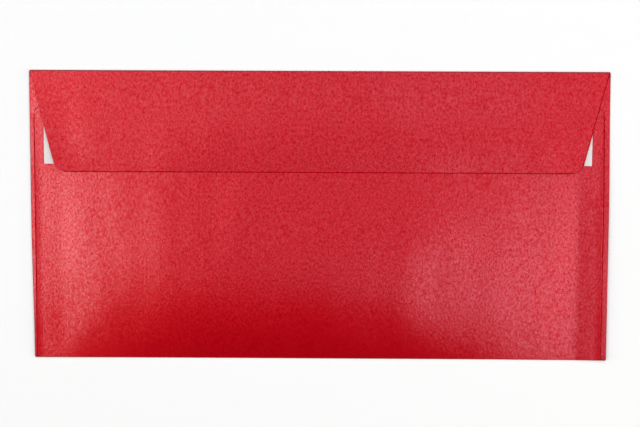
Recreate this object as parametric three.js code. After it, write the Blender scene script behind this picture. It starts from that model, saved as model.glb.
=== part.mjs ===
// A peel-and-seal wallet envelope of the DL size, lying on its address side with the closure flap shut.
//
// The envelope is one die-cut sheet of pearlescent paper. Its creases divide it into a front panel, two side
// flaps, a back panel and a closure flap, and each panel and each crease is a solid of its own here. The back
// panel is glued down on the side flaps, so the pocket stays made up; only the closure flap turns, about the
// top crease. On the flap's inner face are a band of adhesive and the release liner that is peeled off it.
//
// Millimetres. X runs along the envelope, Y from the bottom crease to the top crease, and Z up from the table.
// The origin is on the table, under the middle of the envelope.
import * as THREE from "three";

// Sheet and outline
const envelopeLength = 220; // along X, across both side creases
const envelopeHeight = 110; // along Y, bottom crease to top crease
const sheet = 0.15; // paper of 120 g/m2

// Side flaps, folded in over the front panel
const sideFlapWidth = 12;
const sideCreaseGap = 0.2; // clear space inside a side crease
const sideFlapTopGap = 2.5; // from the top crease to the flap's end, at the side crease
const sideFlapTopSlant = 4; // how much further the end drops across the flap's width
const sideFlapBottomGap = 1.2;
const sideFlapBottomSlant = 5;

// Seam glue between the side flaps and the back panel
const glueWidth = 4;
const glueThickness = 0.05;
const glueInset = 1; // from the back panel's side edge
const glueBottomGap = 8;
const glueTopGap = 6;

// Back panel, folded up over the side flaps
const throat = 13.4; // top crease to the pocket's mouth
const backMargin = 2; // how far its side edges stand back from the envelope's
const backCornerRadius = 3.5;
const pocketSwell = 1.6; // how far the empty pocket swells, where it swells most

// Closure flap
const flapDepth = 38.5; // top crease to free edge
const flapRootInset = 0.3; // from the envelope's sides, at the top crease
const flapDraft = 10.2; // how far each slanting side draws in on its way to the free edge
const flapCornerRadius = 5;
const flapClearance = 0.15; // flap over the side flaps, and liner over the back panel

// Adhesive band and release liner on the flap's inner face
const adhesiveInset = 15; // from the envelope's sides
const adhesiveWidth = 10;
const adhesiveThickness = 0.05;
const linerLeftInset = 5.5; // from the envelope's left side, well past the flap's edge
const linerRightInset = 7;
const linerWidth = 20;
const linerThickness = 0.06;
const linerSetback = 3.1; // from the flap's free edge to the liner's
const layerGap = 0.02; // between layers that lie on the sloping flap

// Fineness of the meshes
const creaseSteps = 10;
const cornerSteps = 4;
const swellColumns = 20;
const swellRows = 14;

// Heights in the stack of layers at the seams
const frontTop = sheet;
const sideFlapUnder = frontTop + sideCreaseGap;
const glueUnder = sideFlapUnder + sheet;
const backUnder = glueUnder + glueThickness;

// Creases. Each radius is that of the inner face; the outer face lies one sheet outside it.
const sideCreaseRadius = sideCreaseGap / 2;
const bottomCreaseRadius = (backUnder - frontTop) / 2;
const topCreaseRadius = (sideCreaseGap + sheet + flapClearance) / 2;
const sideCreaseX = envelopeLength / 2 - sideCreaseRadius - sheet;
const bottomCreaseY = -envelopeHeight / 2 + bottomCreaseRadius + sheet;
const topCreaseY = envelopeHeight / 2 - topCreaseRadius - sheet;
const topCreaseZ = frontTop + topCreaseRadius;

// Edges of the panels and of the flaps
const backHalfLength = envelopeLength / 2 - backMargin;
const backTopY = envelopeHeight / 2 - throat;
const sideFlapInnerX = envelopeLength / 2 - sideFlapWidth;
const flapRootX = envelopeLength / 2 - flapRootInset;
const flapTipX = flapRootX - flapDraft;

// Materials
const pearlPaper = new THREE.MeshStandardMaterial({ color: 0xb5121f, roughness: 0.45, metalness: 0.25 });
const creasedPaper = new THREE.MeshStandardMaterial({ color: 0xa50f1b, roughness: 0.5, metalness: 0.2 });
const siliconePaper = new THREE.MeshStandardMaterial({ color: 0xeceae6, roughness: 0.55, metalness: 0 });
const hotMelt = new THREE.MeshStandardMaterial({ color: 0xe6dfc8, roughness: 0.3, metalness: 0 });

function namedMesh(parent, name, geometry, material) {
  const mesh = new THREE.Mesh(geometry, material);
  mesh.name = name;
  parent.add(mesh);
  return mesh;
}

// A flat piece of sheet, from its outline in the XY plane up to its thickness.
function flatSheet(points, thickness) {
  return new THREE.ExtrudeGeometry(new THREE.Shape(points), { depth: thickness, bevelEnabled: false });
}

// A bent strip of sheet. It starts level, heading outwards, and curls up and back through the turn.
function creaseGeometry(innerRadius, turn, length) {
  const start = -Math.PI / 2;
  const profile = new THREE.Shape();
  profile.absarc(0, 0, innerRadius + sheet, start, start + turn, false);
  profile.absarc(0, 0, innerRadius, start + turn, start, true);
  const options = { depth: length, bevelEnabled: false, curveSegments: creaseSteps };
  return new THREE.ExtrudeGeometry(profile, options).translate(0, 0, -length / 2);
}

// Turns a crease so that its outward direction is the given one and its opening faces the envelope's inside.
function aimCrease(mesh, outward) {
  const up = new THREE.Vector3(0, 0, 1);
  const along = new THREE.Vector3().crossVectors(outward, up);
  mesh.quaternion.setFromRotationMatrix(new THREE.Matrix4().makeBasis(outward, up, along));
}

// How far the back panel has swelled from its seams at a point. It springs up from the bottom crease and from
// the side flaps' inner edges, as the stiff sheet does, and lies flat again at the mouth, under the shut flap.
// The swell up the pocket is a cubic that is 1 at its peak, a third of the way up.
function swellAt(x, y) {
  const across = Math.max(0, 1 - (x / sideFlapInnerX) ** 2);
  const up = (y - bottomCreaseY) / (backTopY - bottomCreaseY);
  return pocketSwell * across * (27 / 4) * up * (1 - up) ** 2;
}

// Top edge of the back panel above x, with its rounded corners.
function backEdgeAt(x) {
  const intoCorner = Math.max(0, Math.abs(x) - (backHalfLength - backCornerRadius));
  return backTopY - backCornerRadius + Math.sqrt(Math.max(0, backCornerRadius ** 2 - intoCorner ** 2));
}

// X positions of the back panel's columns: spread over the swell, one at each seam, and some round each corner.
function backColumns() {
  const half = [];
  for (let i = 0; i <= swellColumns / 2; i++) half.push((sideFlapInnerX * i) / (swellColumns / 2));
  for (let i = 0; i <= cornerSteps; i++) {
    const angle = (Math.PI / 2) * (i / cornerSteps);
    half.push(backHalfLength - backCornerRadius + backCornerRadius * Math.sin(angle));
  }
  const right = half.sort((a, b) => a - b).filter((x, i, all) => i === 0 || x - all[i - 1] > sheet);
  return [...right.slice(1).reverse().map((x) => -x), ...right];
}

// The back panel: a grid of columns and rows, the same above and below, closed round its edges.
function backPanelGeometry() {
  const columns = backColumns();
  const positions = [];
  for (const x of columns)
    for (let row = 0; row <= swellRows; row++) {
      const y = THREE.MathUtils.lerp(bottomCreaseY, backEdgeAt(x), row / swellRows);
      const z = backUnder + swellAt(x, y);
      positions.push(x, y, z, x, y, z + sheet);
    }
  const under = (column, row) => 2 * (column * (swellRows + 1) + row);
  const over = (column, row) => under(column, row) + 1;
  const index = [];
  const quad = (a, b, c, d) => index.push(a, b, c, a, c, d);
  const last = columns.length - 1;
  for (let c = 0; c < last; c++) {
    for (let r = 0; r < swellRows; r++) {
      quad(over(c, r), over(c + 1, r), over(c + 1, r + 1), over(c, r + 1));
      quad(under(c, r), under(c, r + 1), under(c + 1, r + 1), under(c + 1, r));
    }
    quad(under(c, 0), under(c + 1, 0), over(c + 1, 0), over(c, 0));
    quad(under(c + 1, swellRows), under(c, swellRows), over(c, swellRows), over(c + 1, swellRows));
  }
  for (let r = 0; r < swellRows; r++) {
    quad(under(0, r + 1), under(0, r), over(0, r), over(0, r + 1));
    quad(under(last, r), under(last, r + 1), over(last, r + 1), over(last, r));
  }
  const geometry = new THREE.BufferGeometry();
  geometry.setAttribute("position", new THREE.Float32BufferAttribute(positions, 3));
  geometry.setIndex(index);
  return geometry;
}

// Outline of a side flap, on the side of X that the sign gives.
function sideFlapPoints(side) {
  const bottomY = -envelopeHeight / 2 + sideFlapBottomGap;
  const topY = envelopeHeight / 2 - sideFlapTopGap;
  const points = [
    new THREE.Vector2(side * sideCreaseX, bottomY),
    new THREE.Vector2(side * sideCreaseX, topY),
    new THREE.Vector2(side * sideFlapInnerX, topY - sideFlapTopSlant),
    new THREE.Vector2(side * sideFlapInnerX, bottomY + sideFlapBottomSlant),
  ];
  return side > 0 ? points : points.reverse();
}

// One side of the envelope: crease, side flap and seam glue.
function addSide(parent, side, word) {
  const flap = namedMesh(parent, `${word}_side_flap`, flatSheet(sideFlapPoints(side), sheet), pearlPaper);
  flap.position.z = sideFlapUnder;

  const bottomY = -envelopeHeight / 2 + sideFlapBottomGap;
  const topY = envelopeHeight / 2 - sideFlapTopGap;
  const bend = creaseGeometry(sideCreaseRadius, Math.PI, topY - bottomY);
  const crease = namedMesh(parent, `${word}_crease`, bend, creasedPaper);
  aimCrease(crease, new THREE.Vector3(side, 0, 0));
  crease.position.set(side * sideCreaseX, (bottomY + topY) / 2, frontTop + sideCreaseRadius);

  const glueBottomY = -envelopeHeight / 2 + glueBottomGap;
  const glueTopY = backTopY - glueTopGap;
  const bead = new THREE.BoxGeometry(glueWidth, glueTopY - glueBottomY, glueThickness);
  const glue = namedMesh(parent, `${word}_seam_glue`, bead, hotMelt);
  const glueX = backHalfLength - glueInset - glueWidth / 2;
  glue.position.set(side * glueX, (glueBottomY + glueTopY) / 2, glueUnder + glueThickness / 2);
}

// Front panel, level on the table, with the creases that lead to the back panel and to the closure flap.
function addFront(parent, flapSlope) {
  const width = 2 * sideCreaseX;
  const height = topCreaseY - bottomCreaseY;
  const front = namedMesh(parent, "front_panel", new THREE.BoxGeometry(width, height, sheet), pearlPaper);
  front.position.set(0, (topCreaseY + bottomCreaseY) / 2, sheet / 2);

  const bottomBend = creaseGeometry(bottomCreaseRadius, Math.PI, 2 * backHalfLength);
  const bottom = namedMesh(parent, "bottom_crease", bottomBend, creasedPaper);
  aimCrease(bottom, new THREE.Vector3(0, -1, 0));
  bottom.position.set(0, bottomCreaseY, frontTop + bottomCreaseRadius);

  const topBend = creaseGeometry(topCreaseRadius, Math.PI - flapSlope, 2 * flapRootX);
  const top = namedMesh(parent, "top_crease", topBend, creasedPaper);
  aimCrease(top, new THREE.Vector3(0, 1, 0));
  top.position.set(0, topCreaseY, topCreaseZ);
}

// Layers on the flap's inner face, as heights over the top crease's centre line.
const flapUnder = topCreaseRadius;
const adhesiveUnder = flapUnder - layerGap - adhesiveThickness;
const linerUnder = adhesiveUnder - layerGap - linerThickness;

// Distances from the top crease's centre line towards the free edge.
const flapTip = flapDepth - topCreaseRadius - sheet;
const linerNear = flapTip - linerSetback - linerWidth;
const linerFar = flapTip - linerSetback;

// The shut flap slopes up just enough to carry its liner over the swelled pocket.
function restingFlapSlope() {
  const samples = 40;
  let steepest = 0;
  for (let i = 1; i <= samples; i++) {
    const out = (flapTip * i) / samples;
    const y = topCreaseY - out;
    if (y > backTopY) continue;
    const carriesLiner = out >= linerNear && out <= linerFar;
    const under = topCreaseZ + (carriesLiner ? linerUnder : flapUnder);
    const needed = backUnder + sheet + swellAt(0, y) + flapClearance;
    steepest = Math.max(steepest, (needed - under) / out);
  }
  return Math.atan(steepest);
}

// Outline of the closure flap: straight slanting sides and rounded free corners. Y is 0 at the top crease.
function flapShape() {
  const corner = Math.atan2(flapDraft, flapTip);
  const tangent = flapCornerRadius * Math.tan((Math.PI / 2 - corner) / 2);
  const centreX = flapTipX - tangent;
  const centreY = -flapTip + flapCornerRadius;
  const shape = new THREE.Shape();
  shape.moveTo(flapRootX, -layerGap);
  shape.lineTo(-flapRootX, -layerGap);
  shape.absarc(-centreX, centreY, flapCornerRadius, Math.PI + corner, 1.5 * Math.PI, false);
  shape.absarc(centreX, centreY, flapCornerRadius, 1.5 * Math.PI, 2 * Math.PI - corner, false);
  shape.closePath();
  return shape;
}

// The closure flap with its adhesive and liner, in a group that turns about the top crease's centre line.
function addClosure(parent, flapSlope) {
  const closure = new THREE.Group();
  closure.position.set(0, topCreaseY, topCreaseZ);
  closure.rotation.x = -flapSlope;
  parent.add(closure);

  const cut = { depth: sheet, bevelEnabled: false, curveSegments: 2 * cornerSteps };
  const flap = namedMesh(closure, "closure_flap", new THREE.ExtrudeGeometry(flapShape(), cut), pearlPaper);
  flap.position.z = flapUnder;

  const stripY = -(linerNear + linerFar) / 2;
  const bandLength = envelopeLength - 2 * adhesiveInset;
  const band = new THREE.BoxGeometry(bandLength, adhesiveWidth, adhesiveThickness);
  const adhesive = namedMesh(closure, "seal_adhesive", band, hotMelt);
  adhesive.position.set(0, stripY, adhesiveUnder + adhesiveThickness / 2);

  const stripLength = envelopeLength - linerLeftInset - linerRightInset;
  const strip = new THREE.BoxGeometry(stripLength, linerWidth, linerThickness);
  const liner = namedMesh(closure, "release_liner", strip, siliconePaper);
  liner.position.set((linerLeftInset - linerRightInset) / 2, stripY, linerUnder + linerThickness / 2);
}

function makeEnvelope() {
  const envelope = new THREE.Group();
  const flapSlope = restingFlapSlope();
  addFront(envelope, flapSlope);
  addSide(envelope, -1, "left");
  addSide(envelope, 1, "right");
  namedMesh(envelope, "back_panel", backPanelGeometry(), pearlPaper);
  addClosure(envelope, flapSlope);
  return envelope;
}

export default makeEnvelope();
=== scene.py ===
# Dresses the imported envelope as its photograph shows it: red pearlescent paper, folded and glued into a
# pocket, with its flap shut over the white liner of the adhesive strip. Metres, in the frame of the packed
# model.
import math

import bpy
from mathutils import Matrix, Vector


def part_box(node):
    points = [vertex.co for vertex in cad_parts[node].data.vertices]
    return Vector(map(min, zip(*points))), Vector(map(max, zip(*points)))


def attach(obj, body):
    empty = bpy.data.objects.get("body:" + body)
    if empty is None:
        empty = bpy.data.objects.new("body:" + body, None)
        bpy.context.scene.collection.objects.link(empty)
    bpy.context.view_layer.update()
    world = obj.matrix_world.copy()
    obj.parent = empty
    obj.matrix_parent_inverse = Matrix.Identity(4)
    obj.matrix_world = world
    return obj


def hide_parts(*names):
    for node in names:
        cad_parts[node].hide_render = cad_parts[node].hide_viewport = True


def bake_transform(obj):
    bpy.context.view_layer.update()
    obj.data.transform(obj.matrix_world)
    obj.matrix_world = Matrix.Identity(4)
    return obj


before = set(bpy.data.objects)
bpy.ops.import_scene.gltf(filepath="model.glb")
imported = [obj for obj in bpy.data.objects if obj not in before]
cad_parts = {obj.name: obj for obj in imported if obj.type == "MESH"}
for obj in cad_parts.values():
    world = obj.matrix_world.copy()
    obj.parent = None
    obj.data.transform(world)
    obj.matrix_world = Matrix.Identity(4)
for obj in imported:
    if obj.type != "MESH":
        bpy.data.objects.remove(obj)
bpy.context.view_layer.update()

MM = 0.001

# How the sheet is cut and glued up, where the boxes of the solids don't tell
BACK_CORNER = 3.5 * MM  # the radius of the back panel's top corners
FLAP_CORNER = 5 * MM  # and of the flap's free ones
FLAP_DRAFT = 10.2 * MM  # how far in the flap's sides slant on their way to its free edge
SIDE_TOP_SLANT = 4 * MM  # the same for the ends of the side flaps
SIDE_BOTTOM_SLANT = 5 * MM
STRIP_GAP = 0.005 * MM  # between the flap and the adhesive, and the adhesive and the liner
ADHESIVE_THICKNESS = 0.055 * MM
LINER_THICKNESS = 0.06 * MM
POCKET_SWELL = 1.6 * MM  # of the empty pocket, where it swells most: the same as in the CAD
SWELL_SCALE = 27 / 4  # makes the highest point of share * (1 - share)**2 equal 1

# How the sheet lies. The CAD's panels are square, and flat but for the swell. The real ones curl and ripple
# a little, and are folded a little askew.
LEFT_TUCK = 0.68 * MM  # how much further in the lower left corner is folded
RIGHT_TUCK = 0.45 * MM  # and the upper right one
BACK_LEFT_SHIFT = 0.5 * MM  # how much nearer the left fold the back panel's left edge lies
FLAP_SKEW = -0.4 * MM  # how far along X the flap's free edge lies from its place
HELD_ABOVE = 0.8  # the share of half the height above which the top crease holds the sides down
RIGHT_LIFT = math.radians(4.5)  # the slope at which the right seam lifts off the table
RIGHT_LIFT_FULL = -0.2  # the share of half the height below which it lifts in full
CORNER_CURL = 0.41 * MM  # how far the bottom corners lift, on top of that
CORNER_START = 0.35  # the share of half the length where that curl begins
CORNER_END = 1.1  # and where it would be full, along the height too
RIPPLES = (  # of the back panel: how far across each crosses the middle, and its height
    (-88 * MM, 0.035 * MM),
    (-64 * MM, -0.035 * MM),
    (-32 * MM, 0.05 * MM),
    (8 * MM, 0.01 * MM),
    (32 * MM, 0.03 * MM),
    (40 * MM, -0.01 * MM),
    (64 * MM, -0.015 * MM),
    (80 * MM, 0.005 * MM),
)
RIPPLE_WIDTH = 6.18 * MM
RIPPLE_FAN = 290 * MM  # they spread downward, as if from a point this far above the middle
RIPPLE_BOTTOM_FADE = 0.15  # the shares of the panel's height over which they die out at its ends
RIPPLE_TOP_FADE = 0.25
EDGE_WIDTH = 3 * MM  # the sides of the back panel stand off the side flaps over this width
LEFT_EDGE_LIFT = 0.10 * MM
RIGHT_EDGE_LIFT = 0.15 * MM
UPTURN_WIDTH = 1 * MM  # and the last of the right one turns up more sharply
UPTURN = 0.10 * MM
SHADE_LINE_WIDTH = 0.4 * MM  # of the dark matt line painted along a cut edge: painted shade where the edge stands off the sheet under it
FLAP_RAISE = 0.40 * MM  # how far the middle of the flap stands up, over the liner
FLAP_RAISE_ROOT = 26 * MM  # the width of its rise from the crease
FLAP_DROOP = 0.55 * MM  # how far the free edge bends down from there
FLAP_DROOP_WIDTH = 19 * MM
FLAP_RIGHT_RISE = 0.31 * MM  # how far the right free corner lifts instead
FLAP_RIGHT_START = 49 * MM  # where that lift begins
FLAP_LEFT_RISE = 0.45 * MM  # and the same for the left one
FLAP_LEFT_START = 68 * MM
FLAP_LIFT_END = 106 * MM  # where both are full
LEFT_CURL = 0.36 * MM  # how far the flap's left end curls up
LEFT_CURL_WIDTH = 12 * MM

# The grids that the pieces are made of
FINE_CELL = 1.25 * MM  # of the back panel and the flap
FRONT_CELL = 2.5 * MM
SIDE_CELL = 1.5 * MM
SIDE_ROWS = 50
CREASE_CELL = 2 * MM  # along a crease
CREASE_ANGLE = math.pi / 14  # and round it
STRIP_CELL = 3 * MM  # along the adhesive and the liner
STRIP_ROW = 1 * MM  # and across them
CREASE_END_GAP = 0.05 * MM  # the side creases stop this short of the top one
FLAP_START = 0.02 * MM  # the flap begins this far out from its crease line
SHARP_ANGLE = math.radians(50)  # edges that bend by more than this aren't shaded smooth

# The material slots of a slab. RIM is the slot of the cut rim, and also of the dark line of painted shade
# along some of the slab's sides.
UNDER = 0
OVER = 1
RIM = 2

# How fine the noise in the paper is, in features a metre, and how deep
NOISE_LOW = 0.3  # nearly all values of a noise lie between these
NOISE_HIGH = 0.7
FLAKE_SCALE = 1300  # of the pearl flakes
FLAKE_SQUEEZE = (1, 0.7, 1)
FLAKE_DEPTH = 0.03 * MM
COCKLE_SCALE = 40  # of the slow waves in the paper
COCKLE_SQUEEZE = (1, 0.5, 1)
COCKLE_DEPTH = 0.45 * MM

# The studio
FLOOR_REACH = 0.8
FLOOR_DROP = 0.02 * MM  # keeps the table clear of the sheet that lies on it
FLOOR_TONE = 0.97
FLOOR_ROUGHNESS = 0.9
LAMP_DISTANCE = 1.3

# The camera of the photograph
IMAGE_WIDTH = 640
SENSOR_WIDTH = 36  # mm
FOCAL_PIXELS = 1400
CAMERA_PLACE = Vector((5.0, 51.65, 531.2)) * MM
CAMERA_TURN = (math.radians(-5.449), math.radians(0.537), math.radians(0.23))

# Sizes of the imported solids
front_low, front_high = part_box("front_panel")
back_low, back_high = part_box("back_panel")
flap_low, flap_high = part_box("closure_flap")
bottom_low, bottom_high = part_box("bottom_crease")
top_low, top_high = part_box("top_crease")

sheet = front_high.z - front_low.z
half_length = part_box("right_crease")[1].x
half_height = top_high.y
back_half_length = back_high.x
seam_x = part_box("right_side_flap")[0].x  # where the back panel springs up from the side flap

# The line that the closure flap turns about, and the flap's slope up from it
crease_radius = (top_high.z - top_low.z) / 2
crease_y = top_high.y - crease_radius
crease_z = top_low.z + crease_radius
flap_slope = math.atan2(flap_high.z - top_high.z, crease_y - flap_low.y)
flap_under = crease_radius - sheet  # its inner face, above that line
flap_out = (crease_y - flap_low.y) / math.cos(flap_slope)  # its free edge, out from that line


def smooth(start, end, value):
    """0 before start, 1 after end, and a smooth step between them."""
    t = min(1.0, max(0.0, (value - start) / (end - start)))
    return t * t * (3 - 2 * t)


def steps(start, end, size):
    """Values from start to end, at most size apart."""
    count = max(1, math.ceil(abs(end - start) / size))
    return [start + (end - start) * i / count for i in range(count + 1)]


# How the sheet differs from the CAD's


def askew(x, y):
    """How far along X the sheet lies from its place in the CAD: two corners are folded further in."""
    lower_left = smooth(0, -half_length, x) * smooth(0, -half_height, y)
    upper_right = smooth(0, half_length, x) * smooth(0, half_height, y)
    return LEFT_TUCK * lower_left - RIGHT_TUCK * upper_right


def back_askew(x, y):
    """The same for the back panel, whose left edge stays straight, and lies nearer the fold."""
    return askew(x, y) if x > 0 else -BACK_LEFT_SHIFT * smooth(0, -half_length, x)


def curl(x, y):
    """How far the envelope curls up off the table: its right seam, and its bottom corners."""
    past_seam = max(0.0, x - seam_x)
    down = smooth(HELD_ABOVE * half_height, RIGHT_LIFT_FULL * half_height, y)
    along = smooth(CORNER_START * half_length, CORNER_END * half_length, abs(x))
    toward_corner = along * smooth(0, -CORNER_END * half_height, y)
    return math.tan(RIGHT_LIFT) * past_seam * down + CORNER_CURL * toward_corner


def ripple(x, y):
    """The height of the back panel's ripples. Each runs up and down, and is shaped like a bell across."""
    across = x * (1 + y / RIPPLE_FAN)
    return sum(height * math.exp(-((across - place) / RIPPLE_WIDTH) ** 2) for place, height in RIPPLES)


def edge_lift(x, y):
    """How far the side edges of the back panel stand off the side flaps."""
    height = RIGHT_EDGE_LIFT if x > 0 else LEFT_EDGE_LIFT
    into_edge = max(0.0, abs(x) - (back_half_length - EDGE_WIDTH)) / EDGE_WIDTH
    into_upturn = max(0.0, x - (back_half_length - UPTURN_WIDTH)) / UPTURN_WIDTH
    return height * into_edge**2 * smooth(HELD_ABOVE * half_height, 0, y) + UPTURN * into_upturn**2


def back_height(x, y):
    """How far the back panel stands off its seams: its swell, its ripples, its side edges and the curl."""
    across = max(0.0, 1 - (x / seam_x) ** 2)
    up = min(1.0, max(0.0, (y - back_low.y) / (back_high.y - back_low.y)))
    swell = POCKET_SWELL * across * SWELL_SCALE * up * (1 - up) ** 2
    inward = smooth(0, RIPPLE_BOTTOM_FADE, up) * smooth(1, 1 - RIPPLE_TOP_FADE, up)
    return swell + ripple(x, y) * inward + edge_lift(x, y) + curl(x, y)


def flap_droop(out):
    """How far the flap bends down toward its free edge, at a distance out from the crease."""
    past = max(0.0, out - (flap_out - FLAP_DROOP_WIDTH)) / FLAP_DROOP_WIDTH
    return FLAP_DROOP * past**2


def flap_bend(out):
    """How far the flap and the liner stand off the flat in the middle of the flap."""
    return FLAP_RAISE * smooth(0, FLAP_RAISE_ROOT, out) - flap_droop(out)


def flap_height(x, out, inward=math.inf):
    """How far the flap stands off the flat. inward is the distance from its slanted edge."""
    share = out / flap_out
    toward_right = smooth(FLAP_RIGHT_START, FLAP_LIFT_END, x)
    toward_left = smooth(FLAP_LEFT_START, FLAP_LIFT_END, -x)
    corners = FLAP_RIGHT_RISE * toward_right * share**2 + FLAP_LEFT_RISE * toward_left * share**3
    left_curl = LEFT_CURL * max(0.0, 1 - inward / LEFT_CURL_WIDTH) ** 2 if x < 0 else 0.0
    bend = flap_bend(out) + flap_droop(out) * toward_right
    return bend + corners + left_curl * smooth(0, FLAP_RAISE_ROOT, out)


# Pieces of sheet


def slab(name, columns, rows, under, over, faces, body=None, painted_shade_sides=()):
    """A piece of sheet: a grid of points below and the same above, closed round its rim.
    faces are the materials of the lower face, the upper face and the cut rim. The last argument names the
    sides (first or last column, first or last row) whose outermost squares take the rim's material: a dark
    line of painted shade."""
    points = []
    for u in columns:
        for v in rows:
            points += [under(u, v), over(u, v)]
    tall = len(rows)
    last, end = len(columns) - 1, tall - 1

    def low(c, r):
        return 2 * (c * tall + r)

    def high(c, r):
        return low(c, r) + 1

    def upper_slot(c, r):
        sides = {
            "first column": c == 0,
            "last column": c == last - 1,
            "first row": r == 0,
            "last row": r == end - 1,
        }
        return RIM if any(sides[side] for side in painted_shade_sides) else OVER

    quads, slots = [], []
    for c in range(last):
        for r in range(end):
            quads.append((high(c, r), high(c + 1, r), high(c + 1, r + 1), high(c, r + 1)))
            quads.append((low(c, r), low(c, r + 1), low(c + 1, r + 1), low(c + 1, r)))
            slots += [upper_slot(c, r), UNDER]
        quads.append((low(c, 0), low(c + 1, 0), high(c + 1, 0), high(c, 0)))
        quads.append((low(c + 1, end), low(c, end), high(c, end), high(c + 1, end)))
        slots += [RIM, RIM]
    for r in range(end):
        quads.append((low(0, r + 1), low(0, r), high(0, r), high(0, r + 1)))
        quads.append((low(last, r), low(last, r + 1), high(last, r + 1), high(last, r)))
        slots += [RIM, RIM]
    mesh = bpy.data.meshes.new(name)
    mesh.from_pydata(points, [], quads)
    for material in faces:
        mesh.materials.append(material)
    mesh.polygons.foreach_set("material_index", slots)
    mesh.polygons.foreach_set("use_smooth", [True] * len(quads))
    mesh.update()
    mesh.set_sharp_from_angle(angle=SHARP_ANGLE)
    piece = bpy.data.objects.new(name, mesh)
    bpy.context.scene.collection.objects.link(piece)
    if body:
        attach(piece, body)
    return piece


def flat_slab(name, columns, rows, place, bottom, height, faces, painted_shade_sides=(), aside=askew):
    """A slab of the pocket, over the table: place gives where in plan a grid point is, height what is added
    to bottom there, and aside how far along X it lies from its place."""

    def at(u, v, base):
        x, y = place(u, v)
        return (x + aside(x, y), y, base + height(x, y))

    return slab(
        name, columns, rows,
        lambda u, v: at(u, v, bottom),
        lambda u, v: at(u, v, bottom + sheet),
        faces, "pocket", painted_shade_sides)


# Materials


def new_material(name):
    material = bpy.data.materials.new(name)
    material.use_nodes = True
    return material, material.node_tree.nodes["Principled BSDF"]


def noise_node(tree, scale, detail, roughness=0.5, squeeze=(1, 1, 1)):
    """Noise in the object's own coordinates, with scale features a metre. Where squeeze is under 1, they
    are longer along X, Y or Z."""
    place = tree.nodes.new("ShaderNodeTexCoord")
    mapping = tree.nodes.new("ShaderNodeMapping")
    mapping.inputs["Scale"].default_value = squeeze
    texture = tree.nodes.new("ShaderNodeTexNoise")
    texture.inputs["Scale"].default_value = scale
    texture.inputs["Detail"].default_value = detail
    texture.inputs["Roughness"].default_value = roughness
    tree.links.new(place.outputs["Object"], mapping.inputs["Vector"])
    tree.links.new(mapping.outputs["Vector"], texture.inputs["Vector"])
    return texture.outputs["Fac"]


def ramp_node(tree, noise, dark, light):
    """A colour that goes from dark to light with the noise."""
    ramp = tree.nodes.new("ShaderNodeValToRGB")
    first, last = ramp.color_ramp.elements
    first.position = NOISE_LOW
    first.color = (*dark, 1)
    last.position = NOISE_HIGH
    last.color = (*light, 1)
    tree.links.new(noise, ramp.inputs["Fac"])
    return ramp.outputs["Color"]


def range_node(tree, noise, low, high):
    """A number that goes from low to high with the noise."""
    spread = tree.nodes.new("ShaderNodeMapRange")
    spread.inputs["From Min"].default_value = NOISE_LOW
    spread.inputs["From Max"].default_value = NOISE_HIGH
    spread.inputs["To Min"].default_value = low
    spread.inputs["To Max"].default_value = high
    tree.links.new(noise, spread.inputs["Value"])
    return spread.outputs["Result"]


def bump_node(tree, noise, depth, below=None):
    """A surface that the noise makes uneven, on top of the bumps below it."""
    bump = tree.nodes.new("ShaderNodeBump")
    bump.inputs["Distance"].default_value = depth
    tree.links.new(noise, bump.inputs["Height"])
    if below is not None:
        tree.links.new(below, bump.inputs["Normal"])
    return bump.outputs["Normal"]


def pearl_paper(name, dark, light, metallic, roughness, coat, coat_ior, coat_roughness, specular=0.5):
    """Dyed paper with a pearl coat, mottled by its flakes. roughness and coat are ranges."""
    material, shader = new_material(name)
    tree = material.node_tree
    flakes = noise_node(tree, FLAKE_SCALE, detail=3, roughness=0.65, squeeze=FLAKE_SQUEEZE)
    cockle = noise_node(tree, COCKLE_SCALE, detail=1, squeeze=COCKLE_SQUEEZE)
    surface = bump_node(tree, flakes, FLAKE_DEPTH, below=bump_node(tree, cockle, COCKLE_DEPTH))
    tree.links.new(ramp_node(tree, flakes, dark, light), shader.inputs["Base Color"])
    tree.links.new(range_node(tree, flakes, *roughness), shader.inputs["Roughness"])
    tree.links.new(range_node(tree, flakes, *coat), shader.inputs["Coat Weight"])
    tree.links.new(surface, shader.inputs["Normal"])
    tree.links.new(surface, shader.inputs["Coat Normal"])
    shader.inputs["Metallic"].default_value = metallic
    shader.inputs["Specular IOR Level"].default_value = specular
    shader.inputs["Coat IOR"].default_value = coat_ior
    shader.inputs["Coat Roughness"].default_value = coat_roughness
    return material


def liner_paper():
    """White paper glazed with silicone: smooth, with the faint cloudiness of glassine."""
    material, shader = new_material("release_liner_paper")
    tree = material.node_tree
    cloud = noise_node(tree, scale=220, detail=3)
    fibre = noise_node(tree, scale=1300, detail=2)
    colour = ramp_node(tree, cloud, dark=(0.73, 0.70, 0.67), light=(0.81, 0.77, 0.74))
    tree.links.new(colour, shader.inputs["Base Color"])
    tree.links.new(range_node(tree, fibre, low=0.42, high=0.55), shader.inputs["Roughness"])
    tree.links.new(bump_node(tree, fibre, depth=0.008 * MM), shader.inputs["Normal"])
    return material


def hot_melt():
    """Cream adhesive, glossy and a little uneven from the roller that laid it."""
    material, shader = new_material("hot_melt_glue")
    tree = material.node_tree
    streaks = noise_node(tree, scale=900, detail=2, squeeze=(0.15, 1, 1))
    colour = ramp_node(tree, streaks, dark=(0.62, 0.55, 0.42), light=(0.72, 0.66, 0.52))
    tree.links.new(colour, shader.inputs["Base Color"])
    tree.links.new(range_node(tree, streaks, low=0.18, high=0.32), shader.inputs["Roughness"])
    tree.links.new(bump_node(tree, streaks, depth=0.03 * MM), shader.inputs["Normal"])
    shader.inputs["Subsurface Weight"].default_value = 0.2
    shader.inputs["Subsurface Scale"].default_value = 0.3 * MM
    return material


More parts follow.
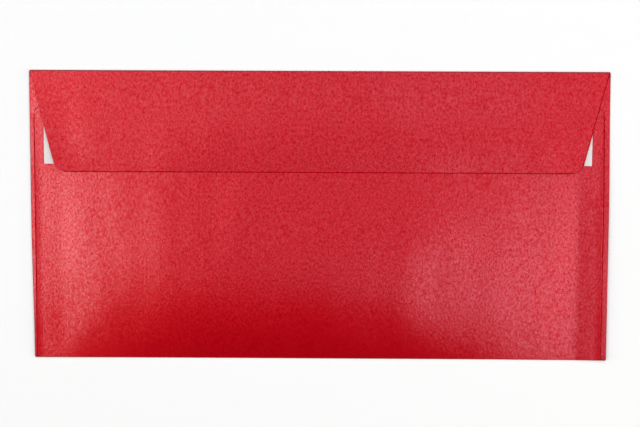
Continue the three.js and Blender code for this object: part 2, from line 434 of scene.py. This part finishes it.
outside = pearl_paper(
    "pearl_paper_outside",
    dark=(0.49, 0.000, 0.005),
    light=(0.62, 0.000, 0.008),
    metallic=0.58,
    roughness=(0.37, 0.44),
    coat=(0.1, 1.0),
    coat_ior=1.76,
    coat_roughness=0.17,
    specular=0.0,
)
# The outer face of the folds: the outside pearl paper made darker and duller. This is painted shade for the
# dark line along the folded edges.
fold_paper_painted_shade = pearl_paper(
    "pearl_paper_fold_painted_shade",
    dark=(0.30, 0.000, 0.000),
    light=(0.42, 0.002, 0.003),
    metallic=0.3,
    roughness=(0.5, 0.6),
    coat=(0.1, 0.5),
    coat_ior=1.46,
    coat_roughness=0.4,
)
inside = pearl_paper(
    "pearl_paper_inside",
    dark=(0.42, 0.004, 0.010),
    light=(0.52, 0.006, 0.014),
    metallic=0.15,
    roughness=(0.5, 0.6),
    coat=(0.1, 0.3),
    coat_ior=1.46,
    coat_roughness=0.5,
)
# The cut rims, in darker matt paper. The same material also paints the dark line of shade along the raised
# edges of the back panel and the flap.
cut_edge_and_shade_line = pearl_paper(
    "pearl_paper_cut_edge_and_painted_shade",
    dark=(0.34, 0.000, 0.003),
    light=(0.46, 0.000, 0.005),
    metallic=0.0,
    roughness=(0.7, 0.8),
    coat=(0.0, 0.1),
    coat_ior=1.3,
    coat_roughness=0.5,
    specular=0.0,
)
silicone_paper = liner_paper()
glue = hot_melt()


# The pocket


def add_front():
    columns = steps(front_low.x, front_high.x, FRONT_CELL)
    rows = steps(front_low.y, front_high.y, FRONT_CELL)
    piece = flat_slab(
        "front_sheet", columns, rows, lambda x, y: (x, y), front_low.z, curl, (outside, inside, cut_edge_and_shade_line))
    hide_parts("front_panel")


def add_back():
    """The back panel, with its rounded top corners."""
    straight = back_half_length - BACK_CORNER
    rim = back_half_length - SHADE_LINE_WIDTH
    half = steps(0, straight, FINE_CELL) + steps(straight, rim, SHADE_LINE_WIDTH)[1:] + [back_half_length]
    columns = [-x for x in reversed(half[1:])] + half
    tall = back_high.y - back_low.y
    rows = steps(0, 1 - SHADE_LINE_WIDTH / tall, FINE_CELL / tall) + [1]

    def place(x, share):
        into_corner = max(0.0, abs(x) - straight)
        top = back_high.y - BACK_CORNER + math.sqrt(max(0.0, BACK_CORNER**2 - into_corner**2))
        return x, back_low.y + (top - back_low.y) * share

    # Its sides and its top edge carry the dark line of painted shade
    piece = flat_slab(
        "back_sheet", columns, rows, place, back_low.z, back_height, (inside, outside, cut_edge_and_shade_line),
        painted_shade_sides=("first column", "last column", "last row"), aside=back_askew)
    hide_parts("back_panel")


def add_side_flap(side, word):
    """A side flap, whose ends slant, on the side that the sign gives."""
    low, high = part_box(f"{word}_side_flap")
    width = high.x - low.x
    outer = high.x if side > 0 else low.x

    def place(x, share):
        inward = abs(outer - x) / width
        bottom = low.y + SIDE_BOTTOM_SLANT * inward
        top = high.y - SIDE_TOP_SLANT * inward
        return x, bottom + (top - bottom) * share

    columns = steps(low.x, high.x, SIDE_CELL)
    rows = steps(0, 1, 1 / SIDE_ROWS)
    piece = flat_slab(
        f"{word}_side_sheet", columns, rows, place, low.z, curl, (inside, outside, cut_edge_and_shade_line))
    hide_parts(f"{word}_side_flap")


def add_side_crease(side, word):
    """The paper that bends round between the front panel and a side flap."""
    low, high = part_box(f"{word}_crease")
    radius = (high.z - low.z) / 2
    centre = side * (half_length - radius)

    def at(y, angle, r):
        return (
            centre + side * r * math.cos(angle) + askew(centre, y),
            y,
            low.z + radius + r * math.sin(angle) + curl(centre, y),
        )

    rows = steps(front_low.y, front_high.y - CREASE_END_GAP, CREASE_CELL)
    if side > 0:
        rows.reverse()  # so that the outer face looks outward on this side too
    piece = slab(
        f"{word}_folded_edge", rows, steps(-math.pi / 2, math.pi / 2, CREASE_ANGLE),
        lambda y, a: at(y, a, radius - sheet),
        lambda y, a: at(y, a, radius),
        (inside, fold_paper_painted_shade, cut_edge_and_shade_line), "pocket")
    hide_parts(f"{word}_crease")


def add_bottom_crease():
    """The paper that bends round between the front panel and the back one."""
    radius = (bottom_high.z - bottom_low.z) / 2
    centre = bottom_low.y + radius

    def at(x, angle, r):
        return (
            x + askew(x, centre),
            centre - r * math.cos(angle),
            bottom_low.z + radius + r * math.sin(angle) + curl(x, centre),
        )

    columns = steps(front_low.x, front_high.x, CREASE_CELL)
    piece = slab(
        "bottom_folded_edge", columns, steps(-math.pi / 2, math.pi / 2, CREASE_ANGLE),
        lambda x, a: at(x, a, radius - sheet),
        lambda x, a: at(x, a, radius),
        (inside, fold_paper_painted_shade, cut_edge_and_shade_line), "pocket")
    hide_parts("bottom_crease")


def dress_seam_glue(word):
    """The glue under a seam is hidden, so its solid stays as it is, with the look of the glue."""
    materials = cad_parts[f"{word}_seam_glue"].data.materials
    materials.clear()
    materials.append(glue)


# The closure


def on_flap(x, out, height):
    """A point on the shut flap: out from the crease line along the flap, and height square to the flap."""
    sine, cosine = math.sin(flap_slope), math.cos(flap_slope)
    return (x, crease_y - out * cosine + height * sine, crease_z + out * sine + height * cosine)


def add_flap():
    """The closure flap: slanting sides, drawn in round its free corners."""
    root = flap_high.x
    lean = math.atan2(FLAP_DRAFT, flap_out)
    arc_start = flap_out - FLAP_CORNER
    arc_centre = root - FLAP_DRAFT - FLAP_CORNER * math.tan((math.pi / 2 - lean) / 2)

    def half_width(out):
        on_side = root - FLAP_DRAFT * out / flap_out
        into_corner = out - arc_start
        if into_corner <= 0:
            return on_side
        on_arc = arc_centre + math.sqrt(max(0.0, FLAP_CORNER**2 - into_corner**2))
        return min(on_side, on_arc)

    def at(share, out, height):
        half = half_width(out)
        x = share * half
        aside = askew(x, crease_y - out) + FLAP_SKEW * out / flap_out
        bent = flap_height(x, out, inward=half * (1 - abs(share)))
        return on_flap(x + aside, out, height + bent)

    columns = steps(-1, 1 - SHADE_LINE_WIDTH / root, FINE_CELL / root) + [1]
    rim = flap_out - SHADE_LINE_WIDTH
    rows = steps(FLAP_START, arc_start, FINE_CELL)
    rows += steps(arc_start, rim, SHADE_LINE_WIDTH)[1:] + [flap_out]
    rows.reverse()  # the flap is built from its free edge, so that its outer face looks up
    # Its right side and its free edge carry the dark line of painted shade
    piece = slab(
        "flap_sheet", columns, rows,
        lambda u, v: at(u, v, flap_under),
        lambda u, v: at(u, v, flap_under + sheet),
        (inside, outside, cut_edge_and_shade_line), "flap", painted_shade_sides=("last column", "first row"))
    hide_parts("closure_flap")


def add_top_crease():
    """The paper that bends round between the front panel and the flap."""

    def at(x, angle, r):
        return (x + askew(x, crease_y), crease_y + r * math.cos(angle), crease_z + r * math.sin(angle))

    columns = steps(top_high.x, top_low.x, CREASE_CELL)
    piece = slab(
        "top_folded_edge", columns, steps(-math.pi / 2, math.pi / 2 - flap_slope, CREASE_ANGLE),
        lambda x, a: at(x, a, crease_radius - sheet),
        lambda x, a: at(x, a, crease_radius),
        (inside, fold_paper_painted_shade, cut_edge_and_shade_line))
    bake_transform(piece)
    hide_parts("top_crease")


def add_strip(name, node, body, gap, thickness, bend, material):
    """A thin strip, gap below the flap's inner face. bend is how far it stands off the flat."""
    low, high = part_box(node)
    near = (crease_y - high.y) / math.cos(flap_slope)
    far = (crease_y - low.y) / math.cos(flap_slope)
    top = flap_under - gap
    piece = slab(
        name, steps(low.x, high.x, STRIP_CELL), steps(far, near, STRIP_ROW),
        lambda x, out: on_flap(x, out, top - thickness + bend(x, out)),
        lambda x, out: on_flap(x, out, top + bend(x, out)),
        (material, material, material), body)
    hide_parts(node)


def add_adhesive():
    add_strip(
        "adhesive_strip", "seal_adhesive", "flap", STRIP_GAP, ADHESIVE_THICKNESS,
        flap_height, glue)


def add_liner():
    """The liner lies over the adhesive, and keeps the bend of the flap's middle all along."""
    gap = STRIP_GAP + ADHESIVE_THICKNESS + STRIP_GAP
    add_strip(
        "liner_strip", "release_liner", "liner", gap, LINER_THICKNESS,
        lambda x, out: flap_bend(out), silicone_paper)


add_front()
add_back()
for side, word in ((-1, "left"), (1, "right")):
    add_side_flap(side, word)
    add_side_crease(side, word)
    dress_seam_glue(word)
add_bottom_crease()
add_flap()
add_top_crease()
add_adhesive()
add_liner()


# The studio


def add_floor():
    corners = ((-1, -1), (1, -1), (1, 1), (-1, 1))
    mesh = bpy.data.meshes.new("floor")
    mesh.from_pydata([(x * FLOOR_REACH, y * FLOOR_REACH, 0) for x, y in corners], [], [(0, 1, 2, 3)])
    floor = bpy.data.objects.new("floor", mesh)
    floor.location.z = -FLOOR_DROP
    bpy.context.scene.collection.objects.link(floor)
    material, shader = new_material("floor_white")
    shader.inputs["Base Color"].default_value = (FLOOR_TONE, FLOOR_TONE, FLOOR_TONE, 1)
    shader.inputs["Roughness"].default_value = FLOOR_ROUGHNESS
    mesh.materials.append(material)


def add_world():
    """White where the camera looks past the floor, but dark as a light: only the lamps light the scene."""
    world = bpy.data.worlds.new("studio")
    bpy.context.scene.world = world
    world.use_nodes = True
    tree = world.node_tree
    background = tree.nodes["Background"]
    background.inputs["Color"].default_value = (1, 1, 1, 1)
    path = tree.nodes.new("ShaderNodeLightPath")
    tree.links.new(path.outputs["Is Camera Ray"], background.inputs["Strength"])


def add_softbox(name, lean, size, brightness, blue, shape="RECTANGLE"):
    """A softbox that faces the envelope. lean is its direction, in degrees from overhead toward +X and +Y,
    and blue is how much blue its light has, where 1 is white."""
    light = bpy.data.lights.new(name, "AREA")
    light.shape = shape
    light.color = (1, 1, blue)
    light.size, light.size_y = size
    light.energy = brightness * math.pi * size[0] * size[1]
    lamp = bpy.data.objects.new(name, light)
    toward = Vector((math.tan(math.radians(lean[0])), math.tan(math.radians(lean[1])), 1)).normalized()
    lamp.location = toward * LAMP_DISTANCE
    lamp.rotation_euler = toward.to_track_quat("Z", "Y").to_euler()
    bpy.context.scene.collection.objects.link(lamp)


def add_lamps():
    add_softbox("overhead_scrim", (2.4, 8.9), (1.21, 1.01), brightness=0.51, blue=1.25)
    add_softbox("top_left_strip", (-13.3, 17.1), (0.44, 0.69), brightness=0.41, blue=1.00)
    add_softbox("top_right_strip", (13.7, 15.0), (0.21, 0.61), brightness=0.50, blue=1.20)
    add_softbox("back_softbox", (-0.6, 34.0), (1.03, 0.47), brightness=2.43, blue=1.20)
    add_softbox("left_softbox", (-26.7, -4.3), (0.55, 0.56), brightness=2.47, blue=1.00, shape="ELLIPSE")
    add_softbox("right_softbox", (18, -12), (0.48, 0.52), brightness=0.99, blue=1.20, shape="ELLIPSE")
    add_softbox("left_wall", (-53.4, 1.0), (1.00, 1.47), brightness=1.67, blue=0.88)
    add_softbox("right_wall", (53, -11), (1.28, 1.48), brightness=2.23, blue=0.88)


def add_camera():
    data = bpy.data.cameras.new("camera")
    data.sensor_width = SENSOR_WIDTH
    data.lens = FOCAL_PIXELS * SENSOR_WIDTH / IMAGE_WIDTH
    camera = bpy.data.objects.new("camera", data)
    camera.location = CAMERA_PLACE
    camera.rotation_euler = CAMERA_TURN
    bpy.context.scene.collection.objects.link(camera)
    bpy.context.scene.camera = camera


add_floor()
add_world()
add_lamps()
add_camera()
bpy.context.scene.view_settings.view_transform = "Standard"
